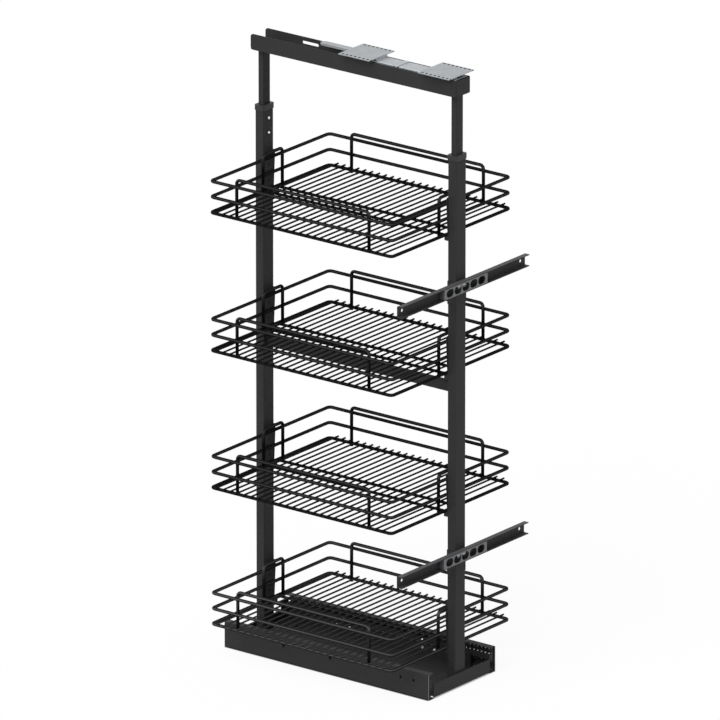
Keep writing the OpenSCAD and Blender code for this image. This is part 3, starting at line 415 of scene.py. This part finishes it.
# Nodes whose finish differs from the rest of their slot
OWN_FINISH = {
    node: finish for finish, wearers in (
        # Outer rails: bare sawn ends, and painted light on the up faces of their top flanges
        (anthracite("anthracite_sawn_rail_painted_top_light", web_inside=RAIL_WEB_X, lip=(RAIL_TOP_Z, RAIL_TOP_PAINTED_LIGHT)),
         ("outer_rail_left", "outer_rail_right")),
        # Tray: painted shade on its floor
        (anthracite("anthracite_tray_painted_floor_shade", lip=(TRAY_FLOOR_Z, TRAY_FLOOR_PAINTED_SHADE)),
         ("carriage_tray",)),
        # Door brackets: a lighter copy of the anthracite as painted light, and a painted highlight
        # on their up-facing flanges
        (anthracite("anthracite_upper_lip", BRACKET_PAINTED_LIGHT_ANTHRACITE, lip=(UPPER_LIP_Z, FLANGE_PAINTED_HIGHLIGHT)),
         ("upper_door_bracket",)),
        (anthracite("anthracite_lower_lip", BRACKET_PAINTED_LIGHT_ANTHRACITE, lip=(LOWER_LIP_Z, FLANGE_PAINTED_HIGHLIGHT)),
         ("lower_door_bracket",)),
        # Guide plates: a darker copy of the zinc as painted shade, and painted shade in their holes
        (zinc_plate("zinc_front_plate_painted_shade", PLATE_ZINC_PAINTED_SHADE, first_hole_y=FRONT_PLATE_Y),
         ("front_guide_plate",)),
        (zinc_plate("zinc_rear_plate_painted_shade", PLATE_ZINC_PAINTED_SHADE, first_hole_y=REAR_PLATE_Y),
         ("rear_guide_plate",)),
        # Clip: painted shade at the ends of its sides
        (zinc_plate("zinc_clip", painted_end_shade=(CLIP_Y, CLIP_UNSHADED_HALF)),
         ("guide_clip",)),
        (anthracite("anthracite_hanger", HANGER_ANTHRACITE),
         ("front_hangers", "rear_hangers")),
        (polished_steel("screw_bright_zinc", BRIGHT_ZINC, roughness=0.24, metallic=0.9),
         ("height_clamp_screws",)),
        # Floor wires of the upper baskets: a dimmer painted highlight
        (wire_coat("black_floor_wire_coat_painted_side_light", WIRE_BLACK, FLOOR_WIRE_PAINTED_HIGHLIGHT),
         ("basket_1_floor", "basket_2_floor", "basket_3_floor")),
        # Lowest basket: a lighter copy of the wire coat as painted light, and a brighter painted
        # highlight
        (wire_coat("black_low_wire_coat_painted_light", LOW_WIRE_PAINTED_LIGHT_BASE, LOW_WIRE_PAINTED_HIGHLIGHT),
         ("basket_4_floor", "basket_4_rails")),
        # Rear inner tube: painted shade on its front
        (anthracite("anthracite_rear_tube_painted_front_shade", front_colour=REAR_TUBE_FRONT_PAINTED_SHADE),
         ("rear_inner_tube",)),
        # Collars: a painted highlight along their edges
        (moulded_plastic("black_plastic_collar_painted_edge_highlight", PLASTIC_BLACK, roughness=0.5, grain=1400.0,
                         painted_edge_highlight=2.4),
         ("front_collar", "rear_collar")),
        (zinc_plate("zinc_dull_insert", INSERT_ZINC, roughness=0.5, metallic=0.4),
         ("upper_bracket_insert", "lower_bracket_insert")),
    ) for node in wearers
}


def dress_nodes():
    """Every CAD node takes the finish of its record slot, or its own."""
    for part in frame["record"]["subparts"]:
        finish = OWN_FINISH.get(part["node"], FINISHES[part["material_slot"]])
        for slot in nodes[part["node"]].material_slots:
            slot.material = finish


# From here to the studio, places repeated from the solids and sizes are in millimetres
MM = 0.001
SIDES = (-1, 1)
ENDS = (-1, 1)
RINGS_Z = (923.5, 641.5, 359.5, 77.5)
BASKETS = tuple(enumerate(RINGS_Z, 1))
POST_INSIDE_Y = 225.5

# Degrees between faces from which an edge is sharp
SHARP = 40.0
WIRE_SHARP = 50.0


def fit_piece(mesh, name, body, slot, stands_for, sharp):
    """A mesh as an object that rides on its body, in the finish of its slot or of its node."""
    mesh.shade_smooth()
    mesh.set_sharp_from_angle(angle=math.radians(sharp))
    mesh.materials.append(OWN_FINISH.get(stands_for, FINISHES[slot]))
    piece = bpy.data.objects.new(name, mesh)
    scene.collection.objects.link(piece)
    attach(piece, body)
    if stands_for:
        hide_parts(stands_for)


class Shape:
    """Closed skins of one piece, gathered in metres."""

    def __init__(self):
        self.points = []
        self.faces = []

    def skin(self, rings, closed=False):
        """Faces over rings of as many points each, capped at both ends or closed on itself."""
        count = len(rings[0])
        first = len(self.points)
        for ring in rings:
            self.points.extend(ring)
        steps = len(rings) if closed else len(rings) - 1
        for i in range(steps):
            a = first + i * count
            b = first + (i + 1) % len(rings) * count
            for k in range(count):
                n = (k + 1) % count
                self.faces.append((a + k, a + n, b + n, b + k))
        if not closed:
            for i in (0, len(rings) - 1):
                middle = len(self.points)
                self.points.append(sum(rings[i], Vector()) / count)
                start = first + i * count
                for k in range(count):
                    self.faces.append((start + k, start + (k + 1) % count, middle))

    def piece(self, name, body, slot, stands_for=None):
        """The gathered skins as one piece, their faces turned outwards."""
        mesh = bpy.data.meshes.new(name)
        mesh.from_pydata(self.points, [], self.faces)
        work = bmesh.new()
        work.from_mesh(mesh)
        bmesh.ops.recalc_face_normals(work, faces=work.faces)
        work.to_mesh(mesh)
        work.free()
        fit_piece(mesh, name, body, slot, stands_for, SHARP)


def turns(count):
    """Angles of as many points around a circle."""
    return [2 * math.pi * k / count for k in range(count)]


def seated(seat, axis):
    """Matrix that stands something up along an axis on its seat."""
    turn = Vector(axis).to_track_quat("Z", "Y").to_matrix().to_4x4()
    return Matrix.Translation(Vector(seat) * MM) @ turn


def hex_socket(flat):
    """Radius of a hexagonal recess at an angle, from half its width over the flats."""
    return lambda a: flat / math.cos(a % (math.pi / 3) - math.pi / 6)


def cross_recess(arm, half_width):
    """Radius of a cross recess at an angle."""
    def radius(a):
        off = abs((a + math.pi / 4) % (math.pi / 2) - math.pi / 4)
        if math.tan(off) <= half_width / arm:
            return arm / math.cos(off)
        return half_width / math.sin(off)
    return radius


def round_dimple(radius):
    """Radius of a round dimple at an angle."""
    return lambda a: radius


# Dome is the share of the head's height lost at its rim, depth is how deep the recess goes
Screw = namedtuple("Screw", "head_d head_h shaft_d shaft_len dome recess depth")
TRAY_SCREW = Screw(head_d=6.5, head_h=2.5, shaft_d=5.0, shaft_len=3.0, dome=0.5,
                   recess=cross_recess(arm=1.9, half_width=0.55), depth=1.4)
CLAMP_SCREW = Screw(head_d=6.0, head_h=2.1, shaft_d=5.6, shaft_len=4.1, dome=0.55,
                    recess=hex_socket(flat=1.2), depth=1.2)
BRACKET_SCREW = Screw(head_d=10.0, head_h=2.5, shaft_d=5.0, shaft_len=3.1, dome=0.6,
                      recess=cross_recess(arm=2.6, half_width=0.7), depth=1.6)
HANGER_SCREW = Screw(head_d=7.0, head_h=1.0, shaft_d=4.0, shaft_len=1.5, dome=0.1,
                     recess=cross_recess(arm=1.7, half_width=0.45), depth=0.8)
RIVET = Screw(head_d=6.0, head_h=1.6, shaft_d=4.0, shaft_len=1.0, dome=0.8,
              recess=round_dimple(0.6), depth=0.2)

SCREW_SEGMENTS = 48
POINT_BEVEL = 0.4
HEAD_BEVEL = 0.1
HEAD_RIM_DROP = 0.15
HEAD_RIM_LEAST = 0.2
CROWN_SHARES = (0.04, 0.25, 0.5, 0.75, 1.0)
RECESS_BEVEL = 0.1
RECESS_MOUTH = 0.95
RECESS_FLOOR = 0.8


def turned_screw(shape, seat, axis, screw):
    """Screw of lathe-turned rings with a recess in its domed head."""
    r = screw.head_d / 2
    shaft_r = screw.shaft_d / 2
    place = seated(seat, axis)

    def ring(radius_at, height_at):
        points = []
        for a in turns(SCREW_SEGMENTS):
            radius = radius_at(a)
            point = Vector((radius * math.cos(a), radius * math.sin(a), height_at(a)))
            points.append(place @ (point * MM))
        return points

    def top(radius):
        return screw.head_h * (1 - screw.dome * (radius / r) ** 2)

    outline = [(shaft_r - POINT_BEVEL, -screw.shaft_len),
               (shaft_r, -screw.shaft_len + POINT_BEVEL),
               (shaft_r, 0.0),
               (r - HEAD_BEVEL, 0.0),
               (r, HEAD_BEVEL),
               (r, max(HEAD_RIM_LEAST, top(r) - HEAD_RIM_DROP))]
    rings = [ring(lambda a: radius, lambda a: height) for radius, height in outline]
    for share in CROWN_SHARES:
        def crown(a):
            return r + (screw.recess(a) - r) * share
        rings.append(ring(crown, lambda a: top(crown(a))))
    rings.append(ring(lambda a: RECESS_MOUTH * screw.recess(a),
                      lambda a: top(screw.recess(a)) - RECESS_BEVEL))
    rings.append(ring(lambda a: RECESS_FLOOR * screw.recess(a),
                      lambda a: screw.head_h - screw.depth))
    shape.skin(rings)


WASHER_SEGMENTS = 40
WASHER_OUTER_D = 9.0
WASHER_INNER_D = 5.8
WASHER_THICK = 1.0
WASHER_BEVEL = 0.3


def washer(shape, seat, axis):
    """Flat ring with a broken outer edge."""
    outer_r, inner_r = WASHER_OUTER_D / 2, WASHER_INNER_D / 2
    section = [(outer_r, 0.0),
               (outer_r, WASHER_THICK - WASHER_BEVEL),
               (outer_r - WASHER_BEVEL, WASHER_THICK),
               (inner_r, WASHER_THICK),
               (inner_r, 0.0)]
    place = seated(seat, axis)
    rings = [[place @ (Vector((r * math.cos(a), r * math.sin(a), h)) * MM)
              for a in turns(WASHER_SEGMENTS)] for r, h in section]
    shape.skin(rings, closed=True)


WALL_SCREW_X = 89.0
WALL_SCREWS_Y = (-115.0, -85.0, 95.0, 125.0)
WALL_SCREW_Z = 17.6
FOOT_SCREW = (26.0, 231.0, 7.0)
POST_TOPS = (1083.5, 1092.0)
CLAMP_DROPS = (25.0, 55.0)
CLAMP_SEAT_Y = 224.6
BRACKET_SCREW_X = 9.0
BRACKET_SCREW_Y = -247.1
BRACKETS_Z = (270.5, 821.0)
HANGER_SCREWS_UP = (16.0, 48.0)
RIVET_X = 90.5
RIVETS_Y = (-83.0, 110.0)
RIVET_Z = 31.5


def make_screws():
    """Domed and recessed screws in the places of the plain CAD ones, washers and rivets."""
    tray = Shape()
    for side in SIDES:
        for y in WALL_SCREWS_Y:
            turned_screw(tray, (side * WALL_SCREW_X, y, WALL_SCREW_Z), (-side, 0, 0), TRAY_SCREW)
        for end in ENDS:
            x, y, z = FOOT_SCREW
            turned_screw(tray, (side * x, end * y, z), (0, 0, 1), TRAY_SCREW)
    tray.piece("tray_screws_turned", "carriage", "screw_steel", "tray_screws")
    clamps = Shape()
    washers = Shape()
    for end, post_top in zip(ENDS, POST_TOPS):
        for drop in CLAMP_DROPS:
            z = post_top - drop
            washer(washers, (0, end * POST_INSIDE_Y, z), (0, -end, 0))
            turned_screw(clamps, (0, end * CLAMP_SEAT_Y, z), (0, -end, 0), CLAMP_SCREW)
    clamps.piece("clamp_screws_turned", "carriage", "screw_steel", "height_clamp_screws")
    # Black washers stand in for the shade round the clamp screws in their holes
    washers.piece("clamp_screw_shade_washers", "carriage", "rubber")
    brackets = Shape()
    for z in BRACKETS_Z:
        for side in SIDES:
            seat = (side * BRACKET_SCREW_X, BRACKET_SCREW_Y, z)
            turned_screw(brackets, seat, (0, -1, 0), BRACKET_SCREW)
    brackets.piece("bracket_screws_turned", "carriage", "screw_steel", "bracket_screws")
    hangers = Shape()
    for ring_z in RINGS_Z:
        for up in HANGER_SCREWS_UP:
            for end in ENDS:
                seat = (0, end * POST_INSIDE_Y, ring_z + up)
                turned_screw(hangers, seat, (0, -end, 0), HANGER_SCREW)
    hangers.piece("hanger_screws_turned", "carriage", "anthracite_steel", "frame_screws")
    rivets = Shape()
    for side in SIDES:
        for y in RIVETS_Y:
            turned_screw(rivets, (side * RIVET_X, y, RIVET_Z), (-side, 0, 0), RIVET)
    rivets.piece("inner_rail_rivets", "carriage", "screw_steel")


# Thickness of the wires' coat, and how the hoops rise above the bare top rails
COAT = 0.35
TOP_RAIL_UP = 67.05
HOOP_RISE = 1.75
RISE_SPAN = 2.0
MERGE_WITHIN = 1e-6


def make_wire_coats():
    """Plastic coat over the basket wires: the solids' bare wires, grown by its thickness.

    The hoops, which alone stand above the top rails, rise as far above them as in the photo.
    """
    for n, ring_z in BASKETS:
        for part in ("floor", "rails"):
            node = "basket_%d_%s" % (n, part)
            name = node + "_coated"
            work = bmesh.new()
            work.from_mesh(nodes[node].data)
            work.transform(nodes[node].matrix_world)
            bmesh.ops.remove_doubles(work, verts=work.verts, dist=MERGE_WITHIN)
            bmesh.ops.recalc_face_normals(work, faces=work.faces)
            work.normal_update()
            for point, away in [(v, v.normal.copy()) for v in work.verts]:
                above = point.co.z / MM - ring_z - TOP_RAIL_UP
                point.co += away * COAT * MM
                point.co.z += HOOP_RISE * min(max(above / RISE_SPAN, 0.0), 1.0) * MM
            mesh = bpy.data.meshes.new(name)
            work.to_mesh(mesh)
            work.free()
            fit_piece(mesh, name, "basket_%d" % n, "wire_coating", node, WIRE_SHARP)


BEAD_SEGMENTS = 8
BEAD_ROWS = 5
BEAD_SWELL = 0.1


def weld_bead(shape, middle, radii, chance):
    """Small uneven drop of weld under the coat."""
    rings = []
    for i in range(1, BEAD_ROWS):
        tilt = math.pi * i / BEAD_ROWS
        ring = []
        for turn in turns(BEAD_SEGMENTS):
            swell = 1.0 + chance.uniform(-BEAD_SWELL, BEAD_SWELL)
            away = (math.sin(tilt) * math.cos(turn), math.sin(tilt) * math.sin(turn),
                    math.cos(tilt))
            ring.append(Vector([(m + swell * (r + COAT) * d) * MM
                                for m, r, d in zip(middle, radii, away)]))
        rings.append(ring)
    shape.skin(rings)


# Crossings of a basket's wires, their heights above its ring, and the radii of their beads
RAILS_UP = (0.0, 32.0, 64.0)
LONG_HOOP_X = 184.0
LONG_HOOP_Y = 161.5
LONG_HOOP_BEAD = (1.3, 2.7, 2.7)
END_HOOP_X = 30.5
END_HOOP_Y = 218.0
END_HOOP_BEAD = (2.7, 1.3, 2.7)
LONG_WIRE_X = 19.0
LONG_WIRE_END_Y = 218.4
LONG_WIRE_END_UP = 0.4
LONG_WIRE_END_BEAD = (2.7, 1.2, 2.6)
LONG_WIRE_UP = 2.9
LONG_WIRE_BEAD = (2.0, 2.0, 0.9)
RING_X = 187.2
RING_UP = 3.0
RING_BEAD = (2.2, 2.0, 0.9)
FLOOR_PITCH = 17.0
FLOOR_WIRES_EACH_WAY = 12
FLOOR_WIRES_Y = [FLOOR_PITCH * i
                 for i in range(-FLOOR_WIRES_EACH_WAY, FLOOR_WIRES_EACH_WAY + 1)]
BASKET_WELD_SEED = 11


def make_basket_welds():
    """Weld drops where a basket's wires cross; they bridge the floor and the rail work."""
    chance = random.Random(BASKET_WELD_SEED)
    for n, ring_z in BASKETS:
        shape = Shape()

        def bead(x, y, up, radii):
            weld_bead(shape, (x, y, ring_z + up), radii, chance)

        for side in SIDES:
            for end in ENDS:
                for up in RAILS_UP:
                    bead(side * LONG_HOOP_X, end * LONG_HOOP_Y, up, LONG_HOOP_BEAD)
                    bead(side * END_HOOP_X, end * END_HOOP_Y, up, END_HOOP_BEAD)
                bead(side * LONG_WIRE_X, end * LONG_WIRE_END_Y, LONG_WIRE_END_UP,
                     LONG_WIRE_END_BEAD)
            for y in FLOOR_WIRES_Y:
                bead(side * RING_X, y, RING_UP, RING_BEAD)
                bead(side * LONG_WIRE_X, y, LONG_WIRE_UP, LONG_WIRE_BEAD)
        shape.piece("basket_%d_welds" % n, "basket_%d" % n, "wire_coating")


SEAM_SEGMENTS = 8
SEAM_STEP = 1.2
SEAM_LEAST_PARTS = 2
SEAM_CREST = 0.12
SEAM_TROUGH = -0.05
SEAM_SWELL = 0.06
SEAM_TAPER = 0.4


def weld_seam(shape, corners, radius, closed, chance):
    """Rippled bead of weld along straight runs between corners, tapered at open ends."""
    ahead = corners[1:] + corners[:1] if closed else corners[1:]
    path = []
    for a, b in zip(corners, ahead):
        a, b = Vector(a), Vector(b)
        parts = max(SEAM_LEAST_PARTS, round((b - a).length / SEAM_STEP))
        path += [a.lerp(b, i / parts) for i in range(parts)]
    if not closed:
        path.append(Vector(corners[-1]))
    rings = []
    for i, point in enumerate(path):
        before = path[i - 1] if closed or i else point
        after = path[(i + 1) % len(path)] if closed or i + 1 < len(path) else point
        turn = (after - before).to_track_quat("Z", "Y")
        ripple = SEAM_CREST if i % 2 else SEAM_TROUGH
        size = radius * (1.0 + ripple + chance.uniform(-SEAM_SWELL, SEAM_SWELL))
        if not closed and i in (0, len(path) - 1):
            size *= SEAM_TAPER
        rings.append([(point + turn @ Vector((size * math.cos(a), size * math.sin(a), 0.0))) * MM
                      for a in turns(SEAM_SEGMENTS)])
    shape.skin(rings, closed)


# Seams: half sizes across, radii and places
BAR_HALVES = (6.1, 10.1)
BAR_SEAM_R = 1.1
BAR_SEAM_Y = 225.3
BAR_Z = 611.0
FOOT_SEAM_HALF = 12.0
FOOT_SEAM_R = 1.2
FOOT_SEAMS_Y = (225.4, 245.6)
FOOT_SEAM_Z = 7.2
TUBE_HALVES = (10.6, 6.1)
TUBE_SEAM_R = 0.9
TUBE_Y = 235.5
TUBE_SEAM_Z = 1207.8
FRAME_WELD_SEED = 23


def rectangle(half_a, half_b):
    return [(-half_a, -half_b), (half_a, -half_b), (half_a, half_b), (-half_a, half_b)]


def make_frame_welds():
    """Seams at the crossbar, the posts' feet and the heads of the inner tubes."""
    chance = random.Random(FRAME_WELD_SEED)
    frame_seams = Shape()
    head_seams = Shape()
    for end in ENDS:
        bar = [(x, end * BAR_SEAM_Y, BAR_Z + z) for x, z in rectangle(*BAR_HALVES)]
        weld_seam(frame_seams, bar, BAR_SEAM_R, True, chance)
        for y in FOOT_SEAMS_Y:
            foot = [(side * FOOT_SEAM_HALF, end * y, FOOT_SEAM_Z) for side in SIDES]
            weld_seam(frame_seams, foot, FOOT_SEAM_R, False, chance)
        tube = [(x, end * TUBE_Y + y, TUBE_SEAM_Z) for x, y in rectangle(*TUBE_HALVES)]
        weld_seam(head_seams, tube, TUBE_SEAM_R, True, chance)
    frame_seams.piece("frame_weld_seams", "carriage", "anthracite_steel")
    head_seams.piece("head_weld_seams", "top_frame", "anthracite_steel")


LIP_HALF = 17.0
LIP_FRONT_Y = -53.0
LIP_TOP_Z = 1246.5
LIP_THICK = 1.5
LIP_DROP = 4.5
LIP_BEVEL = 0.3


def make_plate_lip():
    """Lip folded down at the front of the rear guide plate; it closes the gap over the channel."""
    shape = Shape()
    section = [(0.0, 0.0),
               (LIP_THICK, 0.0),
               (LIP_THICK, LIP_BEVEL - LIP_DROP),
               (LIP_THICK - LIP_BEVEL, -LIP_DROP),
               (LIP_BEVEL, -LIP_DROP),
               (0.0, LIP_BEVEL - LIP_DROP)]
    stations = (-LIP_HALF, -LIP_HALF + LIP_BEVEL, LIP_HALF - LIP_BEVEL, LIP_HALF)
    shape.skin([[Vector((x, LIP_FRONT_Y + y, LIP_TOP_Z + z)) * MM for y, z in section]
                for x in stations])
    shape.piece("rear_plate_lip", "top_guide", "zinc_steel")


RIM_ROOT_Y = 24.5
RIM_ROUND_Y = 87.0
RIM_OUTER_R = 8.0
RIM_THICK = 0.8
RIM_LOW_Z = 1243.7
RIM_HIGH_Z = 1246.6
RIM_STRAIGHT_PARTS = 5
RIM_ROUND_PARTS = 16


def make_tongue_rim():
    """Stiffening rim turned down around the tongue behind the rear guide plate."""
    shape = Shape()
    step = (RIM_ROUND_Y - RIM_ROOT_Y) / RIM_STRAIGHT_PARTS
    straight = [RIM_ROOT_Y + step * i for i in range(RIM_STRAIGHT_PARTS)]
    path = [(-1.0, y, 0.0) for y in straight]
    path += [(-math.cos(a), RIM_ROUND_Y, math.sin(a))
             for a in (math.pi * k / RIM_ROUND_PARTS for k in range(RIM_ROUND_PARTS + 1))]
    path += [(1.0, y, 0.0) for y in reversed(straight)]
    rings = []
    for across, y, along in path:
        (out_x, out_y), (in_x, in_y) = [(r * across, y + r * along)
                                        for r in (RIM_OUTER_R, RIM_OUTER_R - RIM_THICK)]
        section = ((out_x, out_y, RIM_HIGH_Z), (out_x, out_y, RIM_LOW_Z),
                   (in_x, in_y, RIM_LOW_Z), (in_x, in_y, RIM_HIGH_Z))
        rings.append([Vector(point) * MM for point in section])
    shape.skin(rings)
    shape.piece("tongue_rim", "top_guide", "zinc_steel")


def aim(obj, target):
    obj.rotation_euler = (target - obj.location).to_track_quat("-Z", "Y").to_euler()


def around(target, azimuth, elevation, distance):
    """Point at an azimuth, elevation and distance from a target."""
    a, e = math.radians(azimuth), math.radians(elevation)
    away = Vector((math.sin(a) * math.cos(e), -math.cos(a) * math.cos(e), math.sin(e)))
    return target + distance * away


def make_camera():
    data = bpy.data.cameras.new("photo_camera")
    data.sensor_width = SENSOR_WIDTH
    data.lens = CAMERA_LENS
    data.clip_start = CLIP_START
    data.clip_end = CLIP_END
    camera = bpy.data.objects.new("photo_camera", data)
    scene.collection.objects.link(camera)
    camera.location = around(CAMERA_TARGET, CAMERA_AZIMUTH, CAMERA_ELEVATION, CAMERA_DISTANCE)
    aim(camera, CAMERA_TARGET)
    scene.camera = camera


def make_key_light():
    """Wide, soft sun from the left."""
    data = bpy.data.lights.new("key", "SUN")
    data.angle = math.radians(KEY_SPREAD)
    data.energy = KEY_STRENGTH
    light = bpy.data.objects.new("key", data)
    scene.collection.objects.link(light)
    light.location = around(CAMERA_TARGET, KEY_AZIMUTH, KEY_ELEVATION, KEY_DISTANCE)
    aim(light, CAMERA_TARGET)


def seen_directly(tree):
    """1 for camera, glossy and transmission rays, 0 for the rays that light the object."""
    path = tree.nodes.new("ShaderNodeLightPath")
    seen = path.outputs["Is Camera Ray"]
    for ray in ("Is Glossy Ray", "Is Transmission Ray"):
        either = tree.nodes.new("ShaderNodeMath")
        either.operation = "MAXIMUM"
        tree.links.new(seen, either.inputs[0])
        tree.links.new(path.outputs[ray], either.inputs[1])
        seen = either.outputs["Value"]
    return seen


def make_world():
    """Even studio light, seen as plain white."""
    world = bpy.data.worlds.new("studio")
    scene.world = world
    world.use_nodes = True
    tree = world.node_tree
    lit = tree.nodes["Background"]
    lit.inputs["Strength"].default_value = WORLD_LIGHT
    white = tree.nodes.new("ShaderNodeBackground")
    white.inputs["Strength"].default_value = 1.0
    for background in (lit, white):
        background.inputs["Color"].default_value = (1.0, 1.0, 1.0, 1.0)
    mix = tree.nodes.new("ShaderNodeMixShader")
    tree.links.new(seen_directly(tree), mix.inputs["Fac"])
    tree.links.new(lit.outputs["Background"], mix.inputs[1])
    tree.links.new(white.outputs["Background"], mix.inputs[2])
    tree.links.new(mix.outputs["Shader"], tree.nodes["World Output"].inputs["Surface"])


def floor_material():
    """Pale matt floor: white where it is seen, with the object's soft shadow kept and a painted
    contact shadow where the object stands.
    """
    material = bpy.data.materials.new("studio_floor")
    material.use_nodes = True
    tree = material.node_tree
    tree.nodes.remove(tree.nodes["Principled BSDF"])
    bounce = tree.nodes.new("ShaderNodeBsdfDiffuse")
    bounce.inputs["Color"].default_value = (*FLOOR_COLOUR, 1.0)
    shaded = tree.nodes.new("ShaderNodeBsdfDiffuse")
    shaded.inputs["Color"].default_value = (FLOOR_SHADOW, FLOOR_SHADOW, FLOOR_SHADOW, 1.0)
    glow = tree.nodes.new("ShaderNodeEmission")
    # Painted contact shadow: the floor's glow fades where the object is near
    painted_contact_shadow = tree.nodes.new("ShaderNodeAmbientOcclusion")
    painted_contact_shadow.inputs["Distance"].default_value = PAINTED_CONTACT_REACH
    fade = tree.nodes.new("ShaderNodeMapRange")
    fade.inputs["From Min"].default_value = PAINTED_CONTACT_DARK
    fade.inputs["From Max"].default_value = PAINTED_CONTACT_CLEAR
    fade.inputs["To Max"].default_value = 1.0 - FLOOR_SHADOW
    tree.links.new(painted_contact_shadow.outputs["AO"], fade.inputs["Value"])
    tree.links.new(fade.outputs["Result"], glow.inputs["Strength"])
    seen = tree.nodes.new("ShaderNodeAddShader")
    tree.links.new(shaded.outputs["BSDF"], seen.inputs[0])
    tree.links.new(glow.outputs["Emission"], seen.inputs[1])
    mix = tree.nodes.new("ShaderNodeMixShader")
    tree.links.new(seen_directly(tree), mix.inputs["Fac"])
    tree.links.new(bounce.outputs["BSDF"], mix.inputs[1])
    tree.links.new(seen.outputs["Shader"], mix.inputs[2])
    tree.links.new(mix.outputs["Shader"], tree.nodes["Material Output"].inputs["Surface"])
    return material


def make_floor():
    bpy.ops.mesh.primitive_circle_add(vertices=FLOOR_SEGMENTS, radius=FLOOR_RADIUS,
                                      fill_type="NGON")
    floor = bpy.context.object
    floor.name = "studio_floor"
    floor.location.z = -FLOOR_DROP
    floor.data.materials.append(floor_material())


def make_studio():
    scene.view_settings.view_transform = "Standard"
    make_world()
    make_floor()
    make_key_light()


dress_nodes()
make_screws()
make_wire_coats()
make_basket_welds()
make_frame_welds()
make_plate_lip()
make_tongue_rim()
make_camera()
make_studio()
